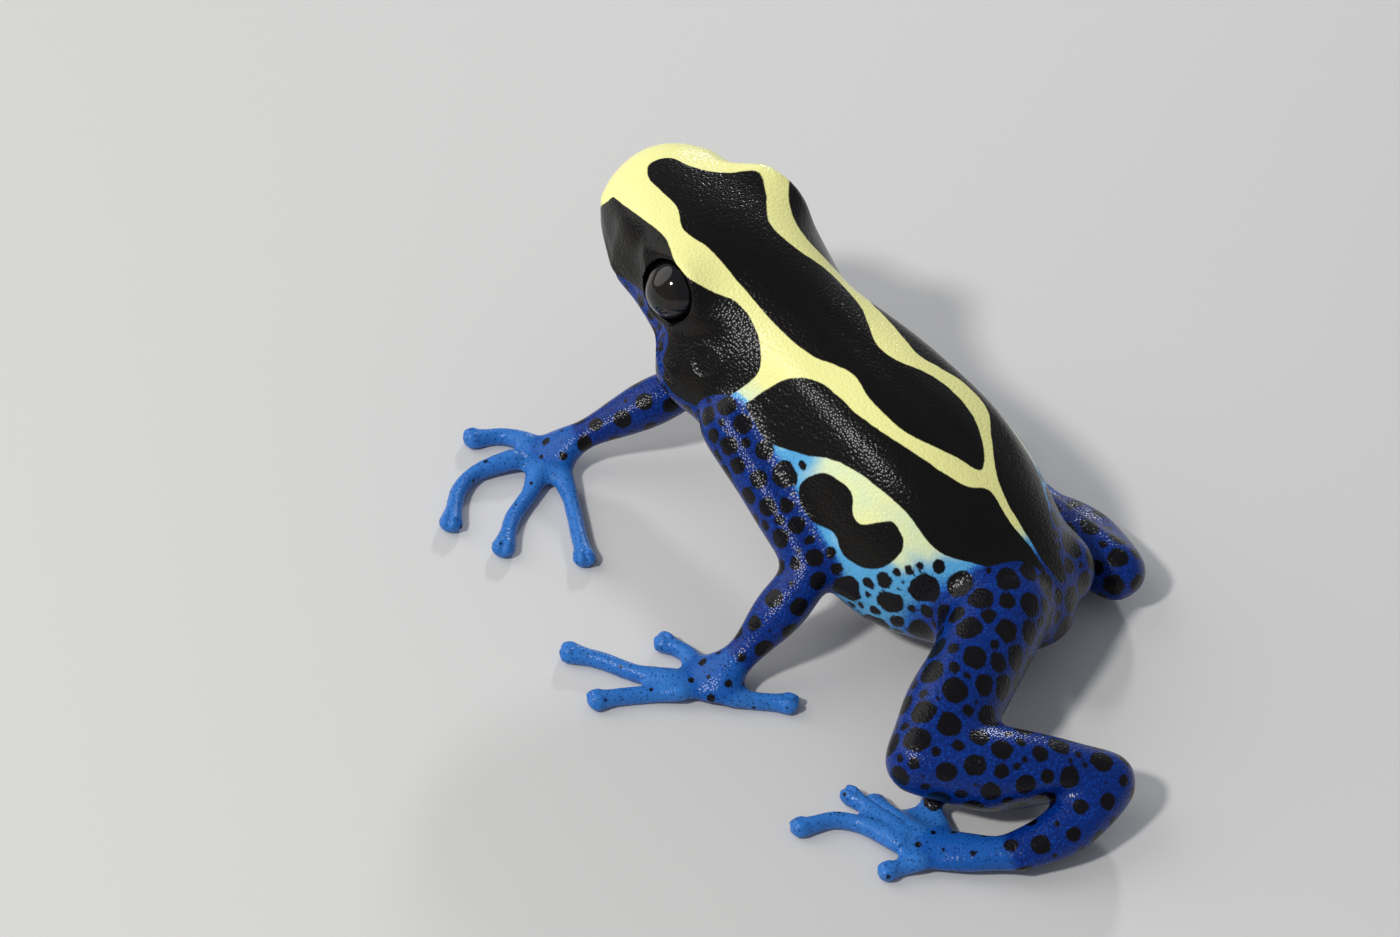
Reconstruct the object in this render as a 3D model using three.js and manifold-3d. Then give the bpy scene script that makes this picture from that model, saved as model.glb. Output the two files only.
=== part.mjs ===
// A blue poison dart frog, the dyeing kind with yellow lines on a black back, as a life-size museum model.
// Millimetres. The frog faces -Y, its left side is +X and its hands and feet stand on the plane z = 0.
import * as THREE from "three";
import { mergeVertices } from "three/addons/utils/BufferGeometryUtils.js";
import Module from "manifold-3d";

const wasm = await Module();
wasm.setup();

// Driving sizes. Places along the body are millimetres behind the vent, so they are negative ahead of it.
const GAP = 0.3; // between neighbouring pieces
const SOLE = 0.55; // height of a toe's middle above the floor
const EYE_RADIUS = 2.3;
const LID_THICKNESS = 0.5;
const EYE = { side: 5.0, along: -31.8, height: 18.4 };
const EAR = { turn: 14, along: -27.2, radius: 1.0, depth: 0.22 };
const NOSTRIL = { turn: 42, along: -40.9, radius: 0.38 };
const MOUTH = { front: 17.2, corner: 14.0, cornerAlong: -28.6, line: 0.35, depth: 0.7 };
const NECK = { along: -25.6, lean: 0.45 };

const v = (x, y, z) => new THREE.Vector3(x, y, z);

// The body's outline, rump to snout: place along the body, how far it sways to the frog's left, top,
// belly, half width, height of the widest level as a share, squareness of the back and roll to the left.
const TRUNK = [
  [0.7, 0.9, 5.8, 3.6, 1.2, 0.45, 1.0, 0.0],
  [0.1, 0.9, 7.0, 2.8, 2.5, 0.45, 1.0, 0.0],
  [-1.2, 1.0, 8.8, 2.1, 3.9, 0.42, 1.0, 0.0],
  [-3.5, 1.1, 11.2, 1.7, 5.7, 0.38, 1.0, 0.0],
  [-7.0, 1.2, 14.0, 1.5, 7.8, 0.33, 1.0, 0.0],
  [-11.0, 1.3, 16.4, 1.7, 8.8, 0.31, 1.0, 0.02],
  [-15.5, 1.2, 17.9, 3.0, 8.5, 0.32, 1.0, 0.03],
  [-20.0, 0.9, 18.8, 4.9, 8.0, 0.35, 1.02, 0.05],
  [-24.0, 0.6, 19.9, 6.8, 7.8, 0.36, 1.1, 0.07],
  [-28.0, 0.3, 21.2, 9.1, 7.7, 0.4, 1.04, 0.09],
  [-32.0, 0.1, 22.0, 11.4, 7.2, 0.44, 0.84, 0.1],
  [-35.5, 0.0, 22.1, 13.2, 6.4, 0.48, 0.76, 0.1],
  [-38.5, -0.1, 22.0, 14.9, 5.4, 0.48, 0.74, 0.1],
  [-40.4, -0.2, 21.4, 16.0, 4.4, 0.48, 0.76, 0.1],
  [-41.6, -0.3, 20.3, 16.8, 3.0, 0.5, 0.82, 0.1],
  [-42.1, -0.3, 19.4, 17.6, 1.4, 0.5, 0.9, 0.1],
];
const LOWER_SQUARE = 0.86; // the lower half of every section

// A smooth value between the outline's stations, by place along the body.
function trunkAt(along) {
  const last = TRUNK.length - 1;
  let i = 0;
  while (i < last - 1 && along < TRUNK[i + 1][0]) i += 1;
  const t = (along - TRUNK[i][0]) / (TRUNK[i + 1][0] - TRUNK[i][0]);
  const read = (column) => {
    const at = (k) => TRUNK[Math.min(last, Math.max(0, k))][column];
    const slopeIn = (at(i + 1) - at(i - 1)) / 2;
    const slopeOut = (at(i + 2) - at(i)) / 2;
    const t2 = t * t;
    const t3 = t2 * t;
    return (2 * t3 - 3 * t2 + 1) * at(i) + (t3 - 2 * t2 + t) * slopeIn
      + (3 * t2 - 2 * t3) * at(i + 1) + (t3 - t2) * slopeOut;
  };
  const [sway, top, belly, half, level, square, roll] = [1, 2, 3, 4, 5, 6, 7].map(read);
  return { sway, top, belly, half, middle: belly + (top - belly) * level, square, roll };
}

// A point beside the body's midline, carried along with its sway and roll.
const beside = (across, along, height) => {
  const { sway, roll } = trunkAt(along);
  return v(sway + across, along, height - roll * across);
};

// A closed surface through rings of equally many points, with a pole at each end.
function skinOver(rings, startPole, endPole) {
  const sides = rings[0].length;
  const points = [startPole, ...rings.flat(), endPole];
  const faces = [];
  for (let s = 0; s < sides; s += 1) {
    const next = (s + 1) % sides;
    faces.push(0, 1 + next, 1 + s);
    for (let r = 0; r < rings.length - 1; r += 1) {
      const a = 1 + r * sides;
      const b = a + sides;
      faces.push(a + s, a + next, b + next, a + s, b + next, b + s);
    }
    const end = 1 + (rings.length - 1) * sides;
    faces.push(points.length - 1, end + s, end + next);
  }
  return new THREE.BufferGeometry().setFromPoints(points).setIndex(faces);
}

// A geometry as a manifold-3d solid, turned the right way out.
function solid(geometry) {
  const bare = geometry.clone();
  bare.deleteAttribute("normal");
  bare.deleteAttribute("uv");
  const merged = mergeVertices(bare, 1e-4);
  const make = (triVerts) => new wasm.Manifold(
    new wasm.Mesh({ numProp: 3, vertProperties: merged.attributes.position.array, triVerts }));
  const faces = new Uint32Array(merged.index.array);
  const made = make(faces);
  return made.volume() > 0 ? made : make(faces.map((_, i) => merged.index.array[i - (i % 3) + 2 - (i % 3)]));
}

// A point of the body's skin, by place along it and by turn round it from the frog's left side upwards.
function skinPoint(along, turn, grow = 0) {
  const { top, belly, half, middle, square } = trunkAt(along);
  const c = Math.cos(turn);
  const d = Math.sin(turn);
  const rise = d > 0 ? top - middle : middle - belly;
  const power = d > 0 ? square : Math.min(square, LOWER_SQUARE);
  const across = Math.sign(c) * Math.abs(c) ** power * (half + grow);
  return beside(across, along, middle + Math.sign(d) * Math.abs(d) ** power * (rise + grow));
}

// The rump, trunk and head as one form; grow swells it all round.
function trunkSolid(grow = 0, sides = 30, step = 1.45) {
  const rear = TRUNK[0][0];
  const front = TRUNK[TRUNK.length - 1][0];
  const stations = [];
  for (let along = rear; along > front; along -= step) stations.push(along);
  stations.push(front + 0.4, front);
  const rings = stations.map((along) => {
    const swell = along === rear ? grow : along === front ? -grow : 0;
    return Array.from({ length: sides }, (_, s) =>
      skinPoint(along, (s / sides) * 2 * Math.PI, grow).add(v(0, swell, 0)));
  });
  const pole = (along, reach) => beside(0, along, trunkAt(along).middle).add(v(0, reach, 0));
  return solid(skinOver(rings, pole(rear, 0.35 + grow), pole(front, -0.25 - grow)));
}

// A limb's length: a smooth line through points, each with a half width and a half height, and round ends.
function limbSolid(stations, { sides = 12, steps = 10, grow = 0, caps = 3 } = {}) {
  const line = new THREE.CatmullRomCurve3(stations.map((s) => s[0]), false, "centripetal");
  const sizeAt = (t, column) => {
    const place = t * (stations.length - 1);
    const i = Math.min(stations.length - 2, Math.floor(place));
    const f = place - i;
    const ease = f * f * (3 - 2 * f);
    return stations[i][column] * (1 - ease) + stations[i + 1][column] * ease + grow;
  };
  const rings = [];
  const ring = (middle, along, wide, high) => {
    const right = v(0, 0, 1).cross(along).normalize();
    const up = along.clone().cross(right);
    rings.push(Array.from({ length: sides }, (_, s) => {
      const turn = (s / sides) * 2 * Math.PI;
      return middle.clone().addScaledVector(right, Math.cos(turn) * wide).addScaledVector(up, Math.sin(turn) * high);
    }));
  };
  const cap = (t, sign) => {
    const middle = line.getPoint(t);
    const along = line.getTangent(t);
    const reach = Math.min(sizeAt(t, 1), sizeAt(t, 2));
    const turns = Array.from({ length: caps }, (_, k) => ((k + 1) / (caps + 1)) * (Math.PI / 2));
    if (sign < 0) turns.reverse();
    for (const turn of turns) {
      const at = middle.clone().addScaledVector(along, sign * Math.sin(turn) * reach);
      ring(at, along, sizeAt(t, 1) * Math.cos(turn), sizeAt(t, 2) * Math.cos(turn));
    }
    return middle.clone().addScaledVector(along, sign * reach);
  };
  const start = cap(0, -1);
  for (let k = 0; k <= steps; k += 1) {
    const t = k / steps;
    ring(line.getPoint(t), line.getTangent(t), sizeAt(t, 1), sizeAt(t, 2));
  }
  const end = cap(1, 1);
  return solid(skinOver(rings, start, end));
}

// What lies on the far side of a plane through a point is cut away, with half the gap.
const trim = (form, point, keep) => {
  const normal = keep.clone().normalize();
  return form.trimByPlane(normal.toArray(), normal.dot(point) + GAP / 2);
};

// Two stretches of one limb are parted at the joint by the plane that halves its bend.
function partAt(joint, before, after) {
  const inward = before[0].clone().sub(joint).normalize();
  const outward = after[0].clone().sub(joint).normalize();
  const across = inward.sub(outward);
  return [trim(before[1], joint, across), trim(after[1], joint, across.clone().negate())];
}

const ball = (centre, radius, sides = 20) =>
  solid(new THREE.SphereGeometry(radius, sides, Math.round(sides * 0.6)).translate(...centre.toArray()));

// The place for a paired detail: its turn is counted from straight out to that side.
const paired = (side, place) =>
  skinPoint(place.along, THREE.MathUtils.degToRad(side > 0 ? place.turn : 180 - place.turn));

const eyeCentre = (side) => beside(side * EYE.side, EYE.along, EYE.height);

// The head: lids round the eyes, the line of the mouth, nostrils and the shallow cup of each ear.
function headSolid(trunk) {
  let head = trunk;
  for (const side of [-1, 1]) {
    const eye = eyeCentre(side);
    const outward = v(side, -0.2, 0.12).normalize();
    const lid = ball(eye, EYE_RADIUS + GAP + LID_THICKNESS);
    head = head.add(lid.trimByPlane(outward.clone().negate().toArray(), -outward.dot(eye) - EYE_RADIUS * 0.62));
    head = head.subtract(ball(eye, EYE_RADIUS + GAP));
    head = head.subtract(ball(paired(side, NOSTRIL), NOSTRIL.radius, 8));
    const dish = (EAR.radius ** 2 + EAR.depth ** 2) / (2 * EAR.depth);
    head = head.subtract(ball(paired(side, EAR).add(v(side * (dish - EAR.depth), 0, 0)), dish));
  }
  const slope = (MOUTH.front - MOUTH.corner) / (TRUNK[TRUNK.length - 1][0] - MOUTH.cornerAlong);
  const reach = 16;
  const slab = new THREE.BoxGeometry(2 * reach, reach, MOUTH.line)
    .translate(0, -reach / 2, 0)
    .applyMatrix4(new THREE.Matrix4().makeRotationX(Math.atan(slope)))
    .translate(0, MOUTH.cornerAlong, MOUTH.corner);
  return head.subtract(solid(slab).subtract(trunkSolid(-MOUTH.depth)));
}

const parts = new Map();
const trunkForm = trunkSolid();
const trunkClear = trunkSolid(GAP);
const neck = v(0, NECK.along, 0);
const neckAcross = v(0, -1, NECK.lean);
parts.set("head", headSolid(trim(trunkForm, v(0, NECK.along, 15), neckAcross)));
parts.set("torso", trim(trunkForm, v(0, NECK.along, 15), neckAcross.clone().negate()));
for (const [name, side] of [["left", 1], ["right", -1]]) {
  parts.set(`eye_${name}`, ball(eyeCentre(side), EYE_RADIUS, 18));
}

// Arms: shoulder, elbow and wrist, then the palm and the tips of the four fingers, thumb side first.
const ARMS = {
  left: {
    shoulder: v(8.0, -24.2, 12.0), elbow: v(10.8, -14.0, 7.0), wrist: v(16.8, -15.0, 2.1), palm: v(19.4, -16.0, 0.75),
    fingers: [
      [v(18.3, -17.3, 0.9), v(17.6, -19.0, SOLE), v(17.9, -20.6, SOLE)],
      [v(20.4, -17.7, 0.9), v(21.5, -20.0, SOLE), v(22.1, -22.2, SOLE), v(23.2, -24.6, SOLE)],
      [v(20.8, -16.6, 0.9), v(22.1, -17.9, SOLE), v(23.7, -19.2, SOLE), v(25.3, -20.3, SOLE)],
      [v(19.2, -14.4, 0.9), v(17.8, -12.6, SOLE), v(16.3, -10.7, SOLE)],
    ],
  },
  right: {
    shoulder: v(-6.0, -24.2, 11.4), elbow: v(0.4, -32.4, 6.3), wrist: v(7.8, -37.2, 2.3), palm: v(9.8, -38.5, 0.75),
    fingers: [
      [v(9.6, -40.4, 0.9), v(10.1, -42.3, SOLE), v(11.9, -43.7, SOLE)],
      [v(11.6, -39.9, 0.9), v(14.5, -41.1, SOLE), v(16.8, -40.6, SOLE), v(19.5, -38.8, SOLE)],
      [v(11.4, -37.8, 0.9), v(13.3, -36.9, SOLE), v(15.8, -36.2, SOLE), v(18.8, -34.5, SOLE)],
      [v(10.4, -36.5, 0.9), v(11.6, -34.5, SOLE), v(13.8, -31.9, SOLE), v(15.5, -29.8, SOLE)],
    ],
  },
};

// A finger or toe: slender, with a wide flat pad at its tip.
function digit(points, { root = 0.85, slim = 0.55, pad = 0.9, thin = 0.6, grow = 0 } = {}) {
  const tip = points[points.length - 1];
  const before = points[points.length - 2].clone().lerp(tip, 0.55);
  const [base, ...rest] = points.slice(0, -1);
  return limbSolid(
    [[base, root, thin], ...rest.map((point) => [point, slim, thin]), [before, slim, thin], [tip, pad, thin]],
    { sides: 8, steps: 8, caps: 2, grow });
}

const onFloor = (form) => form.trimByPlane([0, 0, 1], 0);

// A hand or foot's flat middle, wide where the digits leave it.
function palmSolid(from, to, wide, high, grow = 0) {
  return limbSolid([[from, wide * 0.62, high], [from.clone().lerp(to, 0.6), wide, high * 0.85], [to, wide, high * 0.7]],
    { sides: 12, steps: 5, grow });
}

// Digits of one hand or foot, each kept clear of the palm and of the one before it.
function addDigits(name, digits, clear, shape) {
  let taken = clear;
  digits.forEach((points, k) => {
    parts.set(`${name}_${k + 1}`, onFloor(digit(points, shape)).subtract(taken));
    taken = taken.add(digit(points, { ...shape, grow: GAP }));
  });
}

for (const [name, arm] of Object.entries(ARMS)) {
  const upper = limbSolid([[arm.shoulder, 2.1, 2.2], [arm.shoulder.clone().lerp(arm.elbow, 0.5), 1.8, 1.9],
    [arm.elbow, 1.6, 1.6]]);
  const lower = limbSolid([[arm.elbow, 1.6, 1.6], [arm.elbow.clone().lerp(arm.wrist, 0.4), 1.9, 1.8],
    [arm.wrist, 1.25, 1.0]]);
  const [upperArm, elbowTrimmed] = partAt(arm.elbow, [arm.shoulder, upper], [arm.wrist, lower]);
  const palm = palmSolid(arm.wrist, arm.palm, 2.0, 1.2);
  const [forearm, hand] = partAt(arm.wrist, [arm.elbow, elbowTrimmed], [arm.palm, palm]);
  parts.set(`upper_arm_${name}`, upperArm.subtract(trunkClear));
  parts.set(`forearm_${name}`, onFloor(forearm).subtract(trunkClear));
  parts.set(`hand_${name}`, onFloor(hand));
  addDigits(`finger_${name}`, arm.fingers, palmSolid(arm.wrist, arm.palm, 2.0, 1.2, GAP), {});
}

// Legs: hip, knee, heel, the end of the tarsus, the ball of the foot and the five toes, big toe first.
const LEGS = {
  left: {
    hip: v(4.4, -2.8, 6.8), knee: v(17.4, 0.6, 4.3), heel: v(9.4, 10.2, 3.2), shin: [2.9, 3.0],
    ankle: v(17.6, 8.6, 1.4), sag: v(0, 1.1, 0), ball: v(20.2, 4.4, 0.75), girth: 3.6,
    toes: [
      [v(19.0, 4.4, 0.9), v(17.8, 3.2, SOLE), v(17.0, 1.8, SOLE)],
      [v(19.6, 2.9, 0.9), v(18.7, 1.2, SOLE), v(18.2, -0.6, SOLE)],
      [v(20.5, 2.4, 0.9), v(20.1, 0.2, SOLE), v(20.1, -2.6, SOLE)],
      [v(21.4, 2.5, 0.9), v(21.6, -0.4, SOLE), v(22.5, -2.0, SOLE), v(24.7, -3.2, SOLE)],
      [v(21.7, 4.4, 0.9), v(22.6, 3.8, SOLE), v(23.7, 3.3, SOLE)],
    ],
  },
  right: {
    hip: v(-2.6, -3.0, 5.4), knee: v(-7.6, -15.0, 3.4), heel: v(-8.0, -1.0, 2.8), shin: [2.4, 2.5],
    ankle: v(-11.6, -8.6, 1.4), sag: v(-0.9, 0, 0), ball: v(-12.2, -12.6, 0.75), girth: 2.9,
    toes: [
      [v(-11.0, -13.2, 0.9), v(-10.2, -14.4, SOLE), v(-9.4, -15.8, SOLE)],
      [v(-11.5, -14.6, 0.9), v(-10.9, -16.8, SOLE), v(-10.6, -19.2, SOLE)],
      [v(-12.2, -14.9, 0.9), v(-12.4, -18.2, SOLE), v(-12.6, -21.6, SOLE)],
      [v(-12.9, -14.6, 0.9), v(-14.0, -18.4, SOLE), v(-14.9, -21.4, SOLE), v(-15.6, -24.0, SOLE)],
      [v(-13.5, -13.0, 0.9), v(-14.8, -14.8, SOLE), v(-16.2, -16.6, SOLE)],
    ],
  },
};

for (const [name, leg] of Object.entries(LEGS)) {
  const { girth, shin } = leg;
  const thighForm = limbSolid([[leg.hip, girth, girth], [leg.hip.clone().lerp(leg.knee, 0.5), girth, girth],
    [leg.knee, 2.4, 2.4]], { sides: 14 });
  const shankForm = limbSolid([[leg.knee, 2.4, 2.4], [leg.knee.clone().lerp(leg.heel, 0.42), ...shin],
    [leg.heel, 2.2, 2.2]], { sides: 14 });
  const tarsusForm = limbSolid([[leg.heel, 2.2, 2.0], [leg.heel.clone().lerp(leg.ankle, 0.5).add(leg.sag), 1.8, 1.5],
    [leg.ankle, 1.6, 1.15]]);
  const footForm = palmSolid(leg.ankle, leg.ball, 1.75, 1.15);
  const [thigh, shankTrimmed] = partAt(leg.knee, [leg.hip, thighForm], [leg.heel, shankForm]);
  const [shank, tarsusTrimmed] = partAt(leg.heel, [leg.knee, shankTrimmed], [leg.ankle, tarsusForm]);
  const [tarsus, foot] = partAt(leg.ankle, [leg.heel, tarsusTrimmed], [leg.ball, footForm]);
  parts.set(`thigh_${name}`, onFloor(thigh).subtract(trunkClear));
  parts.set(`shank_${name}`, onFloor(shank).subtract(trunkClear));
  parts.set(`tarsus_${name}`, onFloor(tarsus));
  parts.set(`foot_${name}`, onFloor(foot));
  const toeShape = { root: 0.75, slim: 0.5, pad: 0.72 };
  addDigits(`toe_${name}`, leg.toes, palmSolid(leg.ankle, leg.ball, 1.75, 1.15, GAP), toeShape);
}

// Colours by what each piece is.
const BLACK = { color: 0x0f0c08, roughness: 0.35 };
const BLUE = { color: 0x1446c8, roughness: 0.4 };
const PALE_BLUE = { color: 0x3c82e6, roughness: 0.4 };
const EYE_BLACK = { color: 0x060505, roughness: 0.08 };
const look = (name) => {
  if (name.startsWith("eye")) return EYE_BLACK;
  if (name === "head" || name === "torso") return BLACK;
  return /^(hand|finger|foot|toe)/.test(name) ? PALE_BLUE : BLUE;
};

// A solid's surface as a three.js geometry; a node keeps only its largest closed surface.
function surface(form) {
  const largest = form.decompose().sort((a, b) => b.volume() - a.volume())[0];
  const { vertProperties, triVerts, numProp } = largest.getMesh();
  const geometry = new THREE.BufferGeometry();
  const points = new THREE.InterleavedBuffer(vertProperties, numProp);
  geometry.setAttribute("position", new THREE.InterleavedBufferAttribute(points, 3, 0));
  geometry.setIndex(Array.from(triVerts));
  return geometry;
}

const frog = new THREE.Group();
frog.name = "frog";
for (const [name, form] of parts) {
  const mesh = new THREE.Mesh(surface(form), new THREE.MeshStandardMaterial({ ...look(name), metalness: 0 }));
  mesh.name = name;
  frog.add(mesh);
}

// The origin moves to the middle of the footprint.
const box = new THREE.Box3().setFromObject(frog);
const middle = box.getCenter(new THREE.Vector3());
for (const mesh of frog.children) mesh.geometry = mesh.geometry.toNonIndexed().translate(-middle.x, -middle.y, -box.min.z);

export default frog;
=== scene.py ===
# %% [markdown]
# A poison dart frog, life size, dressed for a museum case.
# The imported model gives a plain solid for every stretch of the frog. This script lays one wet, grainy
# skin over them, sets in the eyes, paints the warning colours and lights the result in a studio.
# Everything is worked out from the frame, so each run gives the same frog.

# %% Load the frame
import math

import bpy
import numpy as np
from mathutils import Matrix, Vector
from mathutils.bvhtree import BVHTree
from mathutils.kdtree import KDTree


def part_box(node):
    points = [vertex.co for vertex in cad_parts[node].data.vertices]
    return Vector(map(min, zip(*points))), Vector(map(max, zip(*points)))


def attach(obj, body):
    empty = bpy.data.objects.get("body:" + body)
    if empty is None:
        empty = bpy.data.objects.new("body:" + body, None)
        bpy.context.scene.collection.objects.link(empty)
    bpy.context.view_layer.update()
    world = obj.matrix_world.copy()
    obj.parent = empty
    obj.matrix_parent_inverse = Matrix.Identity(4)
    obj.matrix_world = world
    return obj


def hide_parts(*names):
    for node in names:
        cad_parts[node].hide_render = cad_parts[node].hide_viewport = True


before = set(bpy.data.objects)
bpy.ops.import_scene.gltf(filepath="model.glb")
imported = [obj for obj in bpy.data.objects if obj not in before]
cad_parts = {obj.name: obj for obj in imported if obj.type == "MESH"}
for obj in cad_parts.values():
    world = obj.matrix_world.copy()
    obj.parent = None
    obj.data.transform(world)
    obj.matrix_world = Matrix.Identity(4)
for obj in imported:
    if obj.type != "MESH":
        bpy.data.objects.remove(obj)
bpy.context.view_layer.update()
print("nodes in the frame:", len(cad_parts))

# %% [markdown]
# A frog is measured from its vent, so every place below is in millimetres from there: to the frog's
# left, behind the vent (so the head is at negative values) and above the table.
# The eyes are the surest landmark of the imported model, and they give the vent's place back.

# %% Places on the frog
MM = 0.001
SIDES = ("left", "right")
EYES_BEHIND_VENT = -31.8
EYES_LEFT_OF_VENT = 0.1
EYE_RADIUS = 2.3


def middle_of(name):
    """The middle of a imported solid's box, in the frame."""
    return sum(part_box(name), Vector()) / 2


eye_middles = {side: middle_of(f"eye_{side}") for side in SIDES}
between_eyes = (eye_middles["left"] + eye_middles["right"]) / 2
vent_left = between_eyes.x / MM - EYES_LEFT_OF_VENT
vent_behind = between_eyes.y / MM - EYES_BEHIND_VENT
vent = Vector((vent_left, vent_behind, 0))


def from_vent(point):
    """A point of the frame, in metres, as millimetres from the vent."""
    return Vector(point) / MM - vent


def to_frame(left, behind, above):
    """A place given from the vent, as a point of the frame in metres."""
    return (vent + Vector((left, behind, above))) * MM


print("vent in the frame, mm:", [round(c, 2) for c in vent])

# %% [markdown]
# The skin of a frog has no seams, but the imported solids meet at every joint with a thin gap. The skin
# starts as copies of all the flesh solids, which become one sheet further down. Modelling the body again
# from nothing would look as good, but this way the skin is sure to sit exactly where the solids are.

# %% Copies of the flesh
FLESH = sorted(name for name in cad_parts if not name.startswith("eye"))


def deselect_all():
    if bpy.context.object and bpy.context.object.mode != "OBJECT":
        bpy.ops.object.mode_set(mode="OBJECT")
    bpy.ops.object.select_all(action="DESELECT")


deselect_all()
for name in FLESH:
    part = bpy.data.objects.new("flesh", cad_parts[name].data.copy())
    bpy.context.scene.collection.objects.link(part)
    part.select_set(True)
    bpy.context.view_layer.objects.active = part
print("solids copied:", len(FLESH))

# %% [markdown]
# A little thin skin fills the crotches between a frog's digits. A flat disc in each palm, and a second
# one between the roots of the toes, gives the remesh something to fuse there. Discs are enough, because
# the remesh and the averaging after it round their rims into the digits.

# %% Discs in the palms
DIGITS_OF = {"hand": "finger", "foot": "toe"}
WEBS = {"hand": [(0.1, 1.95)], "foot": [(0.1, 1.7), (0.38, 1.25)]}
WEB_THICKNESS = 1.1
WEB_ABOVE_TABLE = 0.12


def add_web(paw, side):
    """Thin discs over the palm and between the roots of the digits."""
    palm = middle_of(f"{paw}_{side}")
    ends = [middle_of(name) for name in FLESH if name.startswith(f"{DIGITS_OF[paw]}_{side}")]
    to_tips = sum(ends, Vector()) / len(ends) * 2 - palm * 2
    for share, radius in WEBS[paw]:
        place = palm + to_tips * share
        place.z = (WEB_ABOVE_TABLE + WEB_THICKNESS / 2) * MM
        chosen = list(bpy.context.selected_objects)
        bpy.ops.mesh.primitive_uv_sphere_add(
            segments=24, ring_count=12, radius=radius * MM, location=place)
        bpy.context.object.scale.z = WEB_THICKNESS / 2 / radius
        bpy.ops.object.transform_apply(location=True, rotation=True, scale=True)
        for part in chosen:
            part.select_set(True)


for paw in DIGITS_OF:
    for side in SIDES:
        add_web(paw, side)
print("solids and discs to join:", len(bpy.context.selected_objects))

# %% [markdown]
# Copies and discs are joined, welded and swollen by half of the gap at the joints, and a voxel remesh
# turns them into one closed sheet. A union by booleans would keep the gaps and every facet. Any pocket
# that the remesh leaves inside, where two solids met, is taken out.

# %% One closed sheet
SWELL = 0.17 * MM
WELD = 0.001 * MM
VOXEL = 0.295 * MM


def make_active(piece):
    deselect_all()
    piece.select_set(True)
    bpy.context.view_layer.objects.active = piece


def apply_modifier(piece, kind, **settings):
    make_active(piece)
    modifier = piece.modifiers.new(kind.lower(), kind)
    for key, value in settings.items():
        setattr(modifier, key, value)
    bpy.ops.object.modifier_apply(modifier=modifier.name)


def largest_sheet(piece):
    """The largest closed sheet of a piece, once every other one is removed."""
    make_active(piece)
    bpy.ops.object.mode_set(mode="EDIT")
    bpy.ops.mesh.separate(type="LOOSE")
    bpy.ops.object.mode_set(mode="OBJECT")
    *pockets, sheet = sorted(bpy.context.selected_objects, key=lambda one: len(one.data.vertices))
    for pocket in pockets:
        bpy.data.objects.remove(pocket)
    print("closed pockets taken out:", len(pockets))
    return sheet


bpy.ops.object.join()
joined = bpy.context.object
bpy.ops.object.mode_set(mode="EDIT")
bpy.ops.mesh.select_all(action="SELECT")
bpy.ops.mesh.remove_doubles(threshold=WELD)
bpy.ops.transform.shrink_fatten(value=SWELL)
bpy.ops.object.mode_set(mode="OBJECT")
apply_modifier(joined, "REMESH", mode="VOXEL", voxel_size=VOXEL, adaptivity=0.0)
skin = largest_sheet(joined)
skin.name = "skin"
print("skin after the remesh:", len(skin.data.vertices), "points")

# %% [markdown]
# From here on the skin is shaped as a modeller would with a soft brush: points move along their normals.
# The helpers read the points into an array, in millimetres from the vent, and write them back.

# %% Helpers for reading and writing the skin


def read_rows(items, key, width, kind):
    flat = np.empty(len(items) * width, kind)
    items.foreach_get(key, flat)
    return flat.reshape(-1, width)


def read_edges(piece):
    return read_rows(piece.data.edges, "vertices", 2, np.int32)


def read_normals(piece):
    return read_rows(piece.data.vertices, "normal", 3, np.float32).astype(float)


def read_points(piece):
    metres = read_rows(piece.data.vertices, "co", 3, np.float32).astype(float)
    return metres / MM - np.array(vent)


def write_points(piece, points):
    metres = (points + np.array(vent)) * MM
    piece.data.vertices.foreach_set("co", metres.astype(np.float32).ravel())
    piece.data.update()


points = read_points(skin)
edges = read_edges(skin)
print("lowest and highest point, mm:", round(points[:, 2].min(), 2), round(points[:, 2].max(), 2))

# %% [markdown]
# Two brushes do all the shaping. One averages each point with its neighbours, which melts edges. The
# other is a soft bump, strongest at one place and fading out around it. Where one shape has to turn
# into the next, a value fades in from a start, or out towards an end, over a width.

# %% Brushes
HALF = 0.5


def neighbour_mean(values, edges):
    """Each point's value replaced by the mean of its neighbours' values."""
    count = len(values)
    ends = np.concatenate([edges[:, 0], edges[:, 1]])
    others = np.concatenate([edges[:, 1], edges[:, 0]])
    share = np.maximum(np.bincount(ends, minlength=count), 1)

    def mean_of(column):
        return np.bincount(ends, column[others], minlength=count) / share

    if values.ndim == 1:
        return mean_of(values)
    return np.stack([mean_of(values[:, k]) for k in range(3)], 1)


def relax(values, edges, strength, rounds):
    """Values moved towards their neighbours' mean, by a strength for all or for each point."""
    strength = np.broadcast_to(strength, len(values))
    for _ in range(rounds):
        moved = neighbour_mean(values, edges) - values
        values = values + (strength[:, None] if values.ndim == 2 else strength) * moved
    return values


def smooth_step(x):
    x = np.clip(x, 0, 1)
    return x * x * (3 - 2 * x)


def fade_in(values, start, width):
    """0 up to the start, and 1 from a width beyond it."""
    return smooth_step((values - start) / width)


def fade_out(values, end, width):
    """1 up to a width before the end, and 0 from the end on."""
    return smooth_step((end - values) / width)


def bell(x):
    return np.exp(-(x ** 2))


def distance_to(points, place):
    return np.linalg.norm(points - np.array(place), axis=1)


print("a bell keeps", round(float(bell(1.0)), 2), "of its height at its width")

# %% [markdown]
# The skin has to know which stretch of the frog each of its points covers: trunk, limb, or hand and
# foot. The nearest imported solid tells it, and a few rounds of averaging make the borders soft.

# %% Name each point's stretch of the body
TRUNK = ["head", "torso"]
DIGITS = ["finger", "toe"]
PAWS = ["hand", "foot"] + DIGITS

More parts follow.
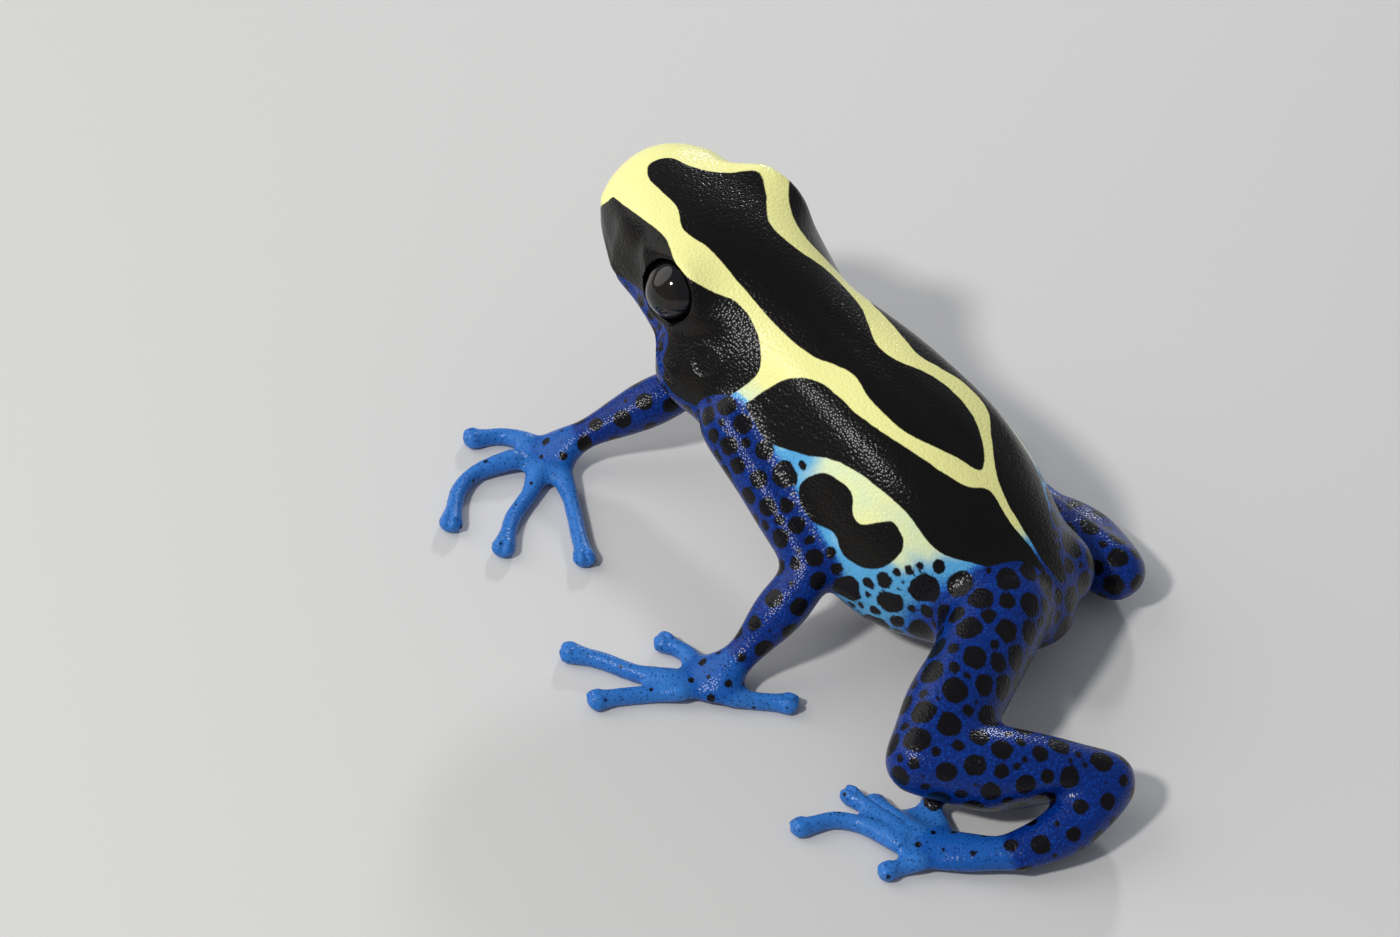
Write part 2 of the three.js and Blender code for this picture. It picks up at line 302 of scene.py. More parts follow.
corners, faces, owners = [], [], []
for name in FLESH:
    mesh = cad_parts[name].data
    faces += [[len(corners) + k for k in face.vertices] for face in mesh.polygons]
    corners += [from_vent(corner.co) for corner in mesh.vertices]
    owners += [name] * len(mesh.polygons)
flesh_tree = BVHTree.FromPolygons(corners, faces)


def stretch_of(points):
    """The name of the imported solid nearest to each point."""
    return np.array([owners[flesh_tree.find_nearest(Vector(p))[2]] for p in points])


def kinds_of(stretch):
    """The first word of each name, such as thigh or finger."""
    return np.array([name.split("_")[0] for name in stretch])


def share_of(words, kinds, edges, rounds):
    """1 on the stretches of these kinds, 0 on the others, and soft at the border."""
    return relax(np.isin(kinds, words).astype(float), edges, HALF, rounds)


kinds = kinds_of(stretch_of(points))
for words in (TRUNK, PAWS, DIGITS):
    print("points on", words[0], "and the like:", int(np.isin(kinds, words).sum()))

# %% [markdown]
# The solids are faceted and pinched at the joints. Averaging melts the facets, long on the trunk and
# the thick limbs, briefly on the digits, which would wither. What the swelling added is then taken off.

# %% Melt the facets
DIGIT_BORDER_ROUNDS = 6
TRUNK_BORDER_ROUNDS = 30
MELT_ROUNDS = 24
MELT_ROUNDS_ON_TRUNK = 36
MELT_ON_DIGITS = 0.12
MORE_MELT_ON_LIMBS = 0.88
TAKEN_OFF_LIMBS = 0.12
TAKEN_OFF_DIGITS = 0.06

thickness = relax(1 - np.isin(kinds, DIGITS).astype(float), edges, HALF, DIGIT_BORDER_ROUNDS)
trunk_share = share_of(TRUNK, kinds, edges, TRUNK_BORDER_ROUNDS)
points = relax(points, edges, HALF * (MELT_ON_DIGITS + MORE_MELT_ON_LIMBS * thickness), MELT_ROUNDS)
points = relax(points, edges, HALF * trunk_share, MELT_ROUNDS_ON_TRUNK)
write_points(skin, points)
taken_off = TAKEN_OFF_LIMBS * thickness + TAKEN_OFF_DIGITS * (1 - thickness)
points = points - read_normals(skin) * taken_off[:, None]
write_points(skin, points)
print("skin spans, mm:", np.round(points.max(0) - points.min(0), 2))

# %% [markdown]
# The colours and the back's ridges follow the body, so a chart unrolls it: how far behind the vent a
# point is, and how far round the body from the middle of the back, to the left as positive.

# %% The chart of the body
BACK_RADIUS = 7.5
SPINE_LEFT = 1.2
HEAD_TURNS_BEHIND = -16
HEAD_TURN = 0.055
SPINE_HEIGHT = 5.5
SPINE_SLOPE = 0.32


def chart(points):
    """How far behind the vent, and how far round the body from the middle of the back."""
    behind = points[:, 1]
    spine_left = SPINE_LEFT + np.minimum(0, behind - HEAD_TURNS_BEHIND) * HEAD_TURN
    spine_height = SPINE_HEIGHT - SPINE_SLOPE * behind
    around = np.arctan2(points[:, 0] - spine_left, points[:, 2] - spine_height)
    return np.stack([behind, BACK_RADIUS * around], 1)


places = chart(points)
print("chart from", np.round(places.min(0), 1), "to", np.round(places.max(0), 1))

# %% [markdown]
# The solids stay plain where a living frog is soft. The throat swells at both corners of the jaw, the
# brow bulges over the far eye, the neck and the front of the thigh draw in, and a low ridge runs along
# each edge of the back. Each is a gentle push along the normals, as with an inflate brush.

# %% Soft forms
# name: place, reach, push
SOFT_FORMS = {
    "throat left": ((7.0, -29.6, 12.3), 3.0, 1.15),
    "throat right": ((-7.0, -29.6, 13.4), 3.0, 0.9),
    "snout corner": ((5.2, -39.4, 18.6), 2.6, -0.85),
    "snout top": ((-1.5, -40.2, 20.6), 2.4, 0.3),
    "far brow": ((-5.6, -33.6, 21.3), 2.3, 1.05),
    "far neck": ((-6.6, -24.0, 16.5), 4.2, -0.8),
    "front of the thigh": ((11.0, -4.6, 5.6), 3.2, -0.95),
    "calf": ((12.0, 8.2, 3.6), 2.6, 0.35),
}
RIDGE_HEIGHT = 0.22
RIDGE_FROM = -26
RIDGE_TO = -5
RIDGES_MIDDLE = 0.4
RIDGE_FROM_MIDDLE = 5.4
RIDGE_WIDTH = 1.5
GROOVE_SHARE = 0.5
GROOVE_WIDTH = 1.0

push = np.zeros(len(points))
for place, reach, height in SOFT_FORMS.values():
    push += height * bell(distance_to(points, place) / reach)
along_back = fade_in(places[:, 0], RIDGE_FROM, 6) * fade_out(places[:, 0], RIDGE_TO, 5) * trunk_share
across_back = places[:, 1] - RIDGES_MIDDLE
push += along_back * RIDGE_HEIGHT * bell((np.abs(across_back) - RIDGE_FROM_MIDDLE) / RIDGE_WIDTH)
push -= along_back * GROOVE_SHARE * RIDGE_HEIGHT * bell(across_back / GROOVE_WIDTH)
write_points(skin, points + read_normals(skin) * push[:, None])
print("largest push, mm:", round(float(np.abs(push).max()), 2))

# %% [markdown]
# The second toe of the near foot lies tucked in close along the third. Its points swing a little about
# the root, most at the tip, which bends the toe without a rig.

# %% Tuck one toe in
TUCKED = "toe_left_2"
TUCK = (1.25, -0.45, 0.0)
TOE_ROOT = 1.5
TOE_ROUNDS = 3
SURELY_TOE = 0.6

points = read_points(skin)
ball_of_foot = np.array(from_vent(middle_of("foot_left")))
own = relax((stretch_of(points) == TUCKED).astype(float), edges, HALF, TOE_ROUNDS)
reach = np.linalg.norm((points - ball_of_foot)[:, :2], axis=1)
tip_reach = reach[own > SURELY_TOE].max()
swing = own * fade_in(reach, TOE_ROOT, tip_reach - TOE_ROOT)
points = points + swing[:, None] * np.array(TUCK)
write_points(skin, points)
print("points swung:", int((swing > 0.01).sum()))

# %% [markdown]
# The head gets the most care. Its landmarks are set here: the plane of the mouth, the ears, the
# nostrils and the way that each eye looks. The head leans a little to the frog's left, so all heights
# take that lean into account.

# %% Landmarks of the head
ROLL = 0.1
MOUTH_FRONT = 17.2
MOUTH_CORNER = 14.0
MOUTH_CORNER_BEHIND = -28.6
MOUTH_FRONT_BEHIND = -42.1
PAST_CORNER = 0.8
JAW_ABOVE = 12

eye_at = {side: np.array(from_vent(middle)) for side, middle in eye_middles.items()}
ear_at, nostril_at, look_of = {}, {}, {}
for side, way in zip(SIDES, (1, -1)):
    ear_at[side] = (7.6 * way + 0.1, -27.2, 16.3 - 0.76 * way)
    nostril_at[side] = (3.0 * way - 0.2, -41.2, 19.6 - 0.3 * way)
    look_of[side] = Vector((way, -0.22, 0.12 - ROLL * way)).normalized()


def mouth_height(points):
    """How far each point is above the plane of the mouth."""
    slope = (MOUTH_FRONT - MOUTH_CORNER) / (MOUTH_FRONT_BEHIND - MOUTH_CORNER_BEHIND)
    line = MOUTH_CORNER + (points[:, 1] - MOUTH_CORNER_BEHIND) * slope - ROLL * points[:, 0]
    return points[:, 2] - line


print("eyes at, mm from the vent:", [np.round(place, 1) for place in eye_at.values()])

# %% [markdown]
# Each digit ends in a wide pad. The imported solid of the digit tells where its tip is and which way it
# points: its outermost points are the tip, and the way runs there from the points just before them.

# %% Tips of the digits
TIP_LENGTH = 0.9
BEFORE_TIP = (3.2, 1.8)


def digit_tip(name):
    """The middle of a digit's tip and the way that it points, level with the table."""
    word, side, _ = name.split("_")
    paw = {"finger": "hand", "toe": "foot"}[word]
    solid = np.array([from_vent(corner.co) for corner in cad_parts[name].data.vertices])
    palm = np.array(from_vent(middle_of(f"{paw}_{side}")))
    reach = np.linalg.norm((solid - palm)[:, :2], axis=1)
    to_end = reach.max() - reach
    end = solid[to_end < TIP_LENGTH].mean(0)
    before = solid[(to_end > BEFORE_TIP[1]) & (to_end < BEFORE_TIP[0])].mean(0)
    way = (end - before) * np.array([1, 1, 0])
    return end, way / np.linalg.norm(way)


tips = {name: digit_tip(name) for name in FLESH if name.split("_")[0] in DIGITS}
print("tips found:", len(tips))

# %% [markdown]
# Lids, mouth, nostrils and scutes are finer than the voxels. Finer voxels all over would make the skin
# far too heavy, so only these places are subdivided: once around them, and once more where the eye's
# opening, the mouth and the nostrils are sharpest.

# %% Finer skin where the detail is
# how far round each detail the skin is cut once, and how close to it a second time
ROUND = {"mouth": 0.75, "eye": 3.9, "nostril": 1.0, "ear": 1.7, "tip": 1.2}
CLOSE = {"mouth": 0.35, "lid": 0.6, "nostril": 0.65}
LID_FROM_EYE = 2.6
LID_OUTWARD = 0.35


def subdivide_where(chosen):
    """Cuts every face in two each way where all of its corners are chosen."""
    make_active(skin)
    bpy.ops.object.mode_set(mode="EDIT")
    bpy.ops.mesh.select_mode(type="FACE")
    bpy.ops.mesh.select_all(action="DESELECT")
    bpy.ops.object.mode_set(mode="OBJECT")
    for face in skin.data.polygons:
        face.select = all(chosen[k] for k in face.vertices)
    bpy.ops.object.mode_set(mode="EDIT")
    bpy.ops.mesh.subdivide(number_cuts=1, smoothness=0.0, ngon=False)
    bpy.ops.object.mode_set(mode="OBJECT")


def along_mouth(points, width):
    ahead = points[:, 1] < MOUTH_CORNER_BEHIND + PAST_CORNER
    return (np.abs(mouth_height(points)) < width) & ahead & (points[:, 2] > JAW_ABOVE)


def outward_share(points, side):
    """How far out each point is from the eye's middle, and how straight along the eye's look."""
    ray = points - eye_at[side]
    reach = np.linalg.norm(ray, axis=1)
    return reach, ray @ np.array(look_of[side]) / reach


def round_details(points):
    fine = along_mouth(points, ROUND["mouth"])
    for side in SIDES:
        reach, outward = outward_share(points, side)
        fine |= (reach < ROUND["eye"]) & (outward > 0)
        fine |= distance_to(points, nostril_at[side]) < ROUND["nostril"]
        fine |= distance_to(points, ear_at[side]) < ROUND["ear"]
    for end, _ in tips.values():
        fine |= distance_to(points, end) < ROUND["tip"]
    return fine


def close_to_details(points):
    fine = along_mouth(points, CLOSE["mouth"])
    for side in SIDES:
        reach, outward = outward_share(points, side)
        fine |= (np.abs(reach - LID_FROM_EYE) < CLOSE["lid"]) & (outward > LID_OUTWARD)
        fine |= distance_to(points, nostril_at[side]) < CLOSE["nostril"]
    return fine


subdivide_where(round_details(read_points(skin)))
subdivide_where(close_to_details(read_points(skin)))
print("skin after the fine cuts:", len(skin.data.vertices), "points")

# %% [markdown]
# An eye sits in an almond opening between two lids. The skin is worked in rays from the middle of the
# eyeball. Around the eye it is drawn in to a shallow hollow. Inside the opening it sinks behind the
# eyeball, at the opening it rolls over into a lid's edge, and further out it is the head again.
# Separate lids would need a seam, which a frog doesn't have.

# %% Lids
# the opening, in degrees from the middle of the look
OPEN_ALONG = 50
OPEN_ABOVE = 42
OPEN_BELOW = 47
ALMOND = 1.75
# the lid's edge and width, in degrees outside the opening
LID_EDGE = 5
LID_EDGE_WIDTH = 3.5
LID_WIDTH = 24
# heights over the eyeball and reach from its middle, in millimetres
LID_LIP = 0.1
LID_GAP = 0.05
LID_DEPTH = 0.24
LID_REACH = 4.8
SUNK = 0.6
HOLLOW_DEPTH = 0.35
HOLLOW_SLOPE = 0.045
HOLLOW_REACH = 6.4
HOLLOW_STRENGTH = 0.8
SOFT_REACH = 5.2
SOFT_ROUNDS = 8
BEHIND_EYE = -0.2


def past_opening(ray, look):
    """How many degrees each ray lies outside the almond opening, negative inside it."""
    up = np.array([0, 0, 1.0]) - look[2] * look
    up = up / np.linalg.norm(up)
    ahead = np.cross(up, look)
    off = np.degrees(np.arccos(np.clip(ray @ look, -1, 1)))
    turn = np.arctan2(ray @ up, ray @ ahead)
    tall = np.where(np.sin(turn) > 0, OPEN_ABOVE, OPEN_BELOW)
    along_share = (np.abs(np.cos(turn)) / OPEN_ALONG) ** ALMOND
    tall_share = (np.abs(np.sin(turn)) / tall) ** ALMOND
    return off - (along_share + tall_share) ** (-1 / ALMOND)


def drawn_in(reach, past, outward):
    """How far the skin round the eye moves in, to a hollow that deepens towards the opening."""
    hollow = EYE_RADIUS + HOLLOW_DEPTH + HOLLOW_SLOPE * np.clip(past - LID_EDGE, 0, 40)
    strength = fade_in(past, 2, 6) * fade_out(past, 48, 16) * fade_out(reach, HOLLOW_REACH, 1.6)
    too_far = (reach > hollow) & (outward > BEHIND_EYE)
    return np.where(too_far, (hollow - reach) * HOLLOW_STRENGTH * strength, 0)


def shape_lids(points, edges, side):
    look = np.array(look_of[side])
    ray = points - eye_at[side]
    reach = np.linalg.norm(ray, axis=1)
    ray = ray / reach[:, None]
    outward = ray @ look
    past = past_opening(ray, look)
    moved_in = drawn_in(reach, past, outward)
    points = points + ray * moved_in[:, None]
    reach = reach + moved_in
    lip = LID_LIP * bell((past - LID_EDGE) / LID_EDGE_WIDTH)
    lid = EYE_RADIUS + LID_GAP + LID_DEPTH * fade_in(past, 0, 7) + lip
    sunk = EYE_RADIUS + LID_GAP - SUNK * fade_out(past, 0, 8)
    wanted = np.where(past > 0, lid, sunk)
    near_eye = fade_out(reach, LID_REACH, 1.5) * fade_in(outward, BEHIND_EYE, 0.35)
    share = (1 - fade_in(past, LID_EDGE, LID_WIDTH)) * near_eye
    points = points + ray * ((wanted - reach) * share)[:, None]
    soften = HALF * fade_in(past, 9, 8) * fade_out(reach, SOFT_REACH, 1.5)
    return relax(points, edges, soften, SOFT_ROUNDS)


points = read_points(skin)
edges = read_edges(skin)
for side in SIDES:
    points = shape_lids(points, edges, side)
    closest = distance_to(points, eye_at[side]).min()
    print("closest skin to the middle of the", side, "eye, mm:", round(float(closest), 2))
write_points(skin, points)

# %% [markdown]
# The mouth is a fine crease from the tip of the snout to below the eye, with a soft lip above it and a
# lower one below. The nostrils are small pits with a rim at the front corners of the snout, and each
# ear is a shallow round cup. They are pushed in and out of the one skin, as with a crease brush.

# %% Mouth, nostrils and ears
CREASE_DEPTH = 0.36
CREASE_WIDTH = 0.15
LIP = 0.13
LIP_ABOVE_MOUTH = 0.45
LIP_WIDTH = 0.3
LOWER_LIP = 0.4 * LIP
LOWER_LIP_BELOW_MOUTH = 0.4
LOWER_LIP_WIDTH = 0.25
NOSTRIL_DEPTH = 0.42
NOSTRIL_WIDTH = 0.26
NOSTRIL_RIM = 0.08
NOSTRIL_RIM_RADIUS = 0.5
NOSTRIL_RIM_WIDTH = 0.2
EAR_DEPTH = 0.08
EAR_RADIUS = 1.05
EAR_RIM = 0.03
EAR_RIM_RADIUS = 1.15
EAR_RIM_WIDTH = 0.25


def mouth_push(points):
    height = mouth_height(points)
    fade = fade_out(points[:, 1], MOUTH_CORNER_BEHIND + 0.4, 1.6) * (points[:, 2] > JAW_ABOVE)
    crease = -CREASE_DEPTH * bell(height / CREASE_WIDTH)
    upper = LIP * bell((height - LIP_ABOVE_MOUTH) / LIP_WIDTH)
    lower = LOWER_LIP * bell((height + LOWER_LIP_BELOW_MOUTH) / LOWER_LIP_WIDTH)
    lips = upper + lower
    return (crease + lips) * fade


def nostril_push(points, side):
    reach = distance_to(points, nostril_at[side])
    rim = NOSTRIL_RIM * bell((reach - NOSTRIL_RIM_RADIUS) / NOSTRIL_RIM_WIDTH)
    return rim - NOSTRIL_DEPTH * bell(reach / NOSTRIL_WIDTH)


def ear_push(points, side):
    reach = distance_to(points, ear_at[side])
    rim = EAR_RIM * bell((reach - EAR_RIM_RADIUS) / EAR_RIM_WIDTH)
    return rim - EAR_DEPTH * fade_out(reach, EAR_RADIUS, 0.4)


points = read_points(skin)
push = mouth_push(points)
for side in SIDES:
    push += nostril_push(points, side)
    push += ear_push(points, side)
write_points(skin, points + read_normals(skin) * push[:, None])
print("deepest crease, mm:", round(float(-push.min()), 2))

# %% [markdown]
# Each digit ends in a widened pad with a pair of small scutes on top, the mark of this frog family.
# A groove down the middle of the tip parts the two.

# %% Paired scutes on the tips
SCUTE_HEIGHT = 0.11
SCUTE_APART = 0.36
SCUTE_WIDTH = 0.24
PARTING_DEPTH = 0.1
PARTING_WIDTH = 0.1
TIP_REACH = 1.6


def scute_push(points, normals, end, way):
    from_end = points - end
    along = from_end @ way
    across = from_end @ np.array([-way[1], way[0], 0])
    on_tip = fade_in(along, -0.75, 0.35) * (np.linalg.norm(from_end, axis=1) < TIP_REACH)
    on_top = fade_in(normals[:, 2], 0, 0.5)
    scutes = SCUTE_HEIGHT * bell((np.abs(across) - SCUTE_APART) / SCUTE_WIDTH)
    parting = PARTING_DEPTH * bell(across / PARTING_WIDTH)
    return (scutes - parting) * (on_tip * on_top)


for end, way in tips.values():
    points = read_points(skin)
    normals = read_normals(skin)
    push = scute_push(points, normals, end, way)
    write_points(skin, points + normals * push[:, None])
print("tips with scutes:", len(tips))

# %% [markdown]
# The black patches of the frog have smooth, lobed edges. Each is a closed curve on the chart of the
# body, through a few marks. Every point stores how deep it lies in a patch, and the shader turns that
# into a crisp edge. A painted image would need an unwrap and would blur up close.

# %% Closed lines on the chart
STEPS_BETWEEN_MARKS = 6


def closed_curve(marks):
    """A smooth closed line through a few marks."""
    marks = np.array(marks, float)
    before = np.roll(marks, 1, 0)
    after = np.roll(marks, -1, 0)
    beyond = np.roll(marks, -2, 0)
    line = []
    for k in range(STEPS_BETWEEN_MARKS):
        t = k / STEPS_BETWEEN_MARKS
        bend = 2 * before - 5 * marks + 4 * after - beyond
        twist = 3 * marks - before - 3 * after + beyond
        line.append(0.5 * (2 * marks + (after - before) * t + bend * t ** 2 + twist * t ** 3))
    return np.stack(line, 1).reshape(-1, 2)


def depth_inside(places, marks):
    """How deep each place lies inside the closed line, negative outside it."""
    line = closed_curve(marks)
    nearest = np.full(len(places), np.inf)
    inside = np.zeros(len(places), bool)
    for a, b in zip(line, np.roll(line, -1, 0)):
        side = b - a
        share = np.clip(((places - a) @ side) / max(side @ side, 1e-9), 0, 1)
        nearest = np.minimum(nearest, distance_to(places - a, share[:, None] * side))
        crosses = (a[1] > places[:, 1]) != (b[1] > places[:, 1])
        with np.errstate(divide="ignore", invalid="ignore"):
            cut = a[0] + (places[:, 1] - a[1]) * side[0] / side[1]
        inside ^= crosses & (places[:, 0] < cut)
    return np.where(inside, nearest, -nearest)


print("points of a line through four marks:", len(closed_curve([(0, 0), (1, 0), (1, 1), (0, 1)])))

# %% [markdown]
# The marks below were read off the photograph on the side that it shows, as behind the vent and round
# the body. The back's patch and those of the left cheek and flank are seen whole. On the far side only
# the upper edges are seen, and below them the marks mirror the left side, moved a little.

# %% Marks of the black patches
BACK_PATCH = [
    (-38.2, 2.3), (-39.1, 0.4), (-38.4, -1.9), (-36.6, -2.2), (-34.6, -3.2), (-33.0, -4.5),
    (-31.3, -3.8), (-29.3, -1.9), (-26.8, -2.1), (-24.2, -3.6), (-21.3, -2.9), (-18.6, -0.9),
    (-16.6, -0.8), (-14.0, -2.2), (-11.0, -2.4), (-8.7, -1.1), (-7.8, 0.5), (-9.4, 1.6), (-12.4, 3.0),
    (-15.4, 3.1), (-18.0, 2.6), (-21.0, 3.8), (-24.0, 4.1), (-27.8, 3.9), (-30.8, 3.7), (-33.2, 4.1),
    (-34.8, 2.9), (-36.4, 2.7),
]
CHEEK_PATCH = [
    (-44.0, 9.6), (-41.6, 8.8), (-39.4, 7.3), (-37.0, 6.3), (-34.0, 5.7), (-31.6, 6.4), (-29.4, 6.1),
    (-27.0, 5.1), (-24.9, 5.7), (-23.5, 7.5), (-24.0, 9.6), (-25.2, 11.7), (-26.6, 13.2),
    (-28.6, 13.9), (-30.2, 13.4), (-30.8, 11.7), (-32.6, 12.2), (-33.6, 11.3), (-35.6, 12.6),
    (-37.4, 14.0), (-39.0, 15.5), (-44.0, 16.0),
]
FLANK_PATCH = [
    (-23.6, 11.6), (-22.8, 9.2), (-21.3, 6.3), (-19.0, 4.7), (-15.2, 4.4), (-11.0, 3.6), (-7.9, 2.6),
    (-6.6, 1.0), (-4.6, 1.2), (-2.4, 0.7), (-1.0, 1.2), (-0.5, 3.6), (-0.9, 5.9), (-2.2, 5.0),
    (-4.6, 6.7), (-6.8, 7.8), (-9.5, 7.1), (-12.1, 7.1), (-15.3, 7.8), (-17.9, 9.5), (-20.6, 10.9),
]
LOBED_PATCH = [
    (-17.1, 10.8), (-15.8, 9.1), (-13.6, 8.6), (-12.7, 9.7), (-11.7, 9.6), (-10.2, 8.2), (-8.9, 8.9),
    (-9.2, 10.6), (-10.6, 11.9), (-12.3, 12.2), (-13.6, 11.6), (-15.3, 12.1), (-16.8, 11.8),
]
FAR_CHEEK_PATCH = [
    (-44.0, -9.4), (-41.6, -8.6), (-39.4, -7.7), (-37.0, -7.3), (-35.2, -7.8), (-33.4, -7.5),
    (-32.0, -6.4), (-30.8, -5.3), (-29.6, -4.6), (-28.2, -4.1), (-26.6, -4.2), (-25.0, -5.4),
    (-23.8, -7.4), (-24.2, -9.6), (-25.4, -11.6), (-27.4, -13.3), (-30.2, -13.2), (-31.4, -11.8),
    (-32.8, -12.3), (-34.4, -11.6), (-36.4, -13.2), (-39.0, -15.0), (-44.0, -16.0),
]
FAR_FLANK_PATCH = [
    (-23.2, -11.0), (-22.9, -7.6), (-21.6, -4.9), (-19.6, -4.0), (-17.6, -3.3), (-16.0, -2.9),
    (-14.6, -3.5), (-12.8, -4.3), (-10.6, -4.1), (-8.8, -2.3), (-7.2, -0.7), (-5.8, 0.1), (-4.6, 0.3),
    (-3.4, 0.3), (-1.8, -0.1), (-0.8, -1.6), (-0.8, -4.6), (-2.4, -4.2), (-4.8, -5.9), (-7.0, -7.0),
    (-9.7, -6.4), (-12.3, -6.4), (-15.5, -7.2), (-18.1, -8.9), (-20.8, -10.3),
]
FAR_LOBED_PATCH = [(behind - 0.6, 0.6 - across) for behind, across in LOBED_PATCH]
PATCHES = [
    BACK_PATCH, CHEEK_PATCH, FLANK_PATCH, LOBED_PATCH, FAR_CHEEK_PATCH, FAR_FLANK_PATCH, FAR_LOBED_PATCH,
]
print("patches:", len(PATCHES), "marks:", sum(len(marks) for marks in PATCHES))

# %% [markdown]
# The chart gets coarse at the very front, where the body closes to a point. There the yellow of the
# snout ends at a level line, and a black band runs from there to just below the mouth. Averaging rounds
# the corners. No patch crosses onto a limb.

# %% Depth in the patches
SNOUT_FROM = -39.6
MUZZLE_FROM = -38.8
YELLOW_DOWN_TO = 18.5
YELLOW_HALF_WIDTH = 8.6
SNOUT_MIDDLE = 0.2
BLACK_BELOW_MOUTH = 0.7
SNOUT_ROUNDS = 12
LIMB_BORDER = 2.5
LIMB_ROUNDS = 14
PAW_ROUNDS = 16
DEEPEST = 3

points = read_points(skin)
places = chart(points)
kinds = kinds_of(stretch_of(points))
on_trunk = share_of(TRUNK, kinds, edges, LIMB_ROUNDS)
on_paw = share_of(PAWS, kinds, edges, PAW_ROUNDS)
on_digit = share_of(DIGITS, kinds, edges, PAW_ROUNDS)
front = fade_out(places[:, 0], SNOUT_FROM, 1.6)


def muzzle_depth(points, places, front):
    """How deep each point lies in the black band round the muzzle."""
    level_edge = (YELLOW_DOWN_TO - ROLL * points[:, 0]) - points[:, 2]
    side_edge = np.abs(places[:, 1] - SNOUT_MIDDLE) - YELLOW_HALF_WIDTH
    below_yellow = side_edge * (1 - front) + level_edge * front
    band = np.minimum(mouth_height(points) + BLACK_BELOW_MOUTH, below_yellow)
    return np.minimum(band, MUZZLE_FROM - places[:, 0])


patch = np.max([depth_inside(places, marks) for marks in PATCHES], 0)
patch = np.maximum(patch * (1 - front) - DEEPEST * front, muzzle_depth(points, places, front))
patch = relax(patch, edges, HALF * front, SNOUT_ROUNDS)
patch = np.minimum(patch, (on_trunk - HALF) * LIMB_BORDER)
print("share of the skin in a black patch:", round(float((patch > 0).mean()), 3))

# %% [markdown]
# The ground colour slides from yellow along the back, through a greenish cream and cyan low on the
# flank, to blue on the rump, belly and limbs. One number per point places it on that slide: it grows
# round the body and towards the rump, is held back on the pale ridge of the flank and on the snout, and
# jumps ahead under the jaw. One slide is easier to tune than a mask for every colour.

# %% The slide from yellow to blue
YELLOW_MIDDLE = 0.5
RUMP_FROM, RUMP_RATE = -8.6, 1.25
TAIL_FROM, TAIL_RATE = -5.2, 2
PALE_RIDGE_MIDDLE = -12.3
PALE_RIDGE_SLIDE = 8.2
PALE_RIDGE_BEND = 0.09
PALE_RIDGE_EDGE = 9.8
LOW_FLANK = 10.2
UNDER_JAW = 6
SLIDE_END = 20
SLIDE_ROUNDS = 5

from_middle = np.abs(places[:, 1] - YELLOW_MIDDLE)
behind = places[:, 0]
slide = from_middle + RUMP_RATE * np.maximum(0, behind - RUMP_FROM)
slide += TAIL_RATE * np.maximum(0, behind - TAIL_FROM)

on_ridge = fade_in(from_middle, 5.2, 0.8) * fade_in(behind, -20, 2) * fade_out(behind, -7.2, 1.5)
along_ridge = PALE_RIDGE_SLIDE + PALE_RIDGE_BEND * (behind - PALE_RIDGE_MIDDLE) ** 2
ridge_slide = np.maximum(along_ridge, from_middle + 0.5 - 3 * (from_middle < PALE_RIDGE_EDGE))
slide = slide * (1 - on_ridge) + ridge_slide * on_ridge

low_flank = fade_in(behind, -19, 3) * fade_out(behind, -5.5, 2.5)
slide -= low_flank * 0.75 * np.clip(from_middle - LOW_FLANK, 0, 4)
slide += UNDER_JAW * fade_in(from_middle, LOW_FLANK, 1.2) * fade_out(behind, -24.5, 2)
above_mouth = fade_in(mouth_height(points), -0.2, 0.8)
slide = slide * (1 - 0.8 * front * above_mouth)

on_limb = 1 - fade_in(on_trunk, 0.15, 0.7)
slide = slide * (1 - on_limb) + SLIDE_END * on_limb
slide = relax(np.clip(slide, 0, SLIDE_END), edges, HALF, SLIDE_ROUNDS)
print("slide runs from", round(float(slide.min()), 1), "to", round(float(slide.max()), 1))

# %% [markdown]
# Blue skin carries black spots: crowded on the rump and thighs, where only a thin blue net is left
# between them, and further apart on the forearms and feet. They are dealt out at random over the skin,
# the large ones first, and each keeps clear of the ones before it, so small spots fill the gaps. A
# cell texture would be quicker, but its spots all have one size and can't follow the limbs.

# %% Deal out the spots
SPOT_SEED = 7
SPOT_RADII = [1.1, 0.92, 0.76, 0.62, 0.5, 0.38, 0.28, 0.2, 0.14]
DEALS_PER_SIZE = [6000, 7000, 8000, 8000, 8000, 7000, 6000, 5000, 3000]
SIZE_SPREAD = (0.88, 1.08)
SPOTS_FROM_SLIDE = 10.3
CLEAR_OF_PATCH = 0.22
CLEAR_OF_TABLE = 0.3
FAR_AWAY = -99.0
# stretch: largest radius, least gap between two spots, how far a spot may grow into the gap
SPOTS_ON = {
    "torso": (1.0, 0.24, 0.16), "head": (0.5, 0.3, 0.05), "thigh": (0.84, 0.26, 0.1),
    "shank": (0.78, 0.32, 0.04), "tarsus": (0.66, 0.42, 0), "upper": (0.62, 0.26, 0.1),
    "forearm": (0.68, 0.42, 0), "hand": (0.34, 0.7, 0), "foot": (0.3, 0.8, 0),
    "finger": (0.16, 1.5, 0), "toe": (0.16, 1.5, 0),
}


def deal_spots(points, homes, largest, gap):
    """Middles and radii of spots that keep clear of each other."""
    rng = np.random.default_rng(SPOT_SEED)
    middles = np.full((1, 3), FAR_AWAY)
    radii = np.zeros(1)
    for size, deals in zip(SPOT_RADII, DEALS_PER_SIZE):
        for k in rng.choice(homes, deals):
            radius = size * rng.uniform(*SIZE_SPREAD)
            if radius > largest[k]:
                continue
            clear = distance_to(middles, points[k]) - radii - radius
            if clear.min() > gap[k]:
                middles = np.vstack([middles, points[k]])
                radii = np.append(radii, radius)
    return middles[1:], radii[1:]


largest, gap, growth = np.array([SPOTS_ON[word] for word in kinds]).T
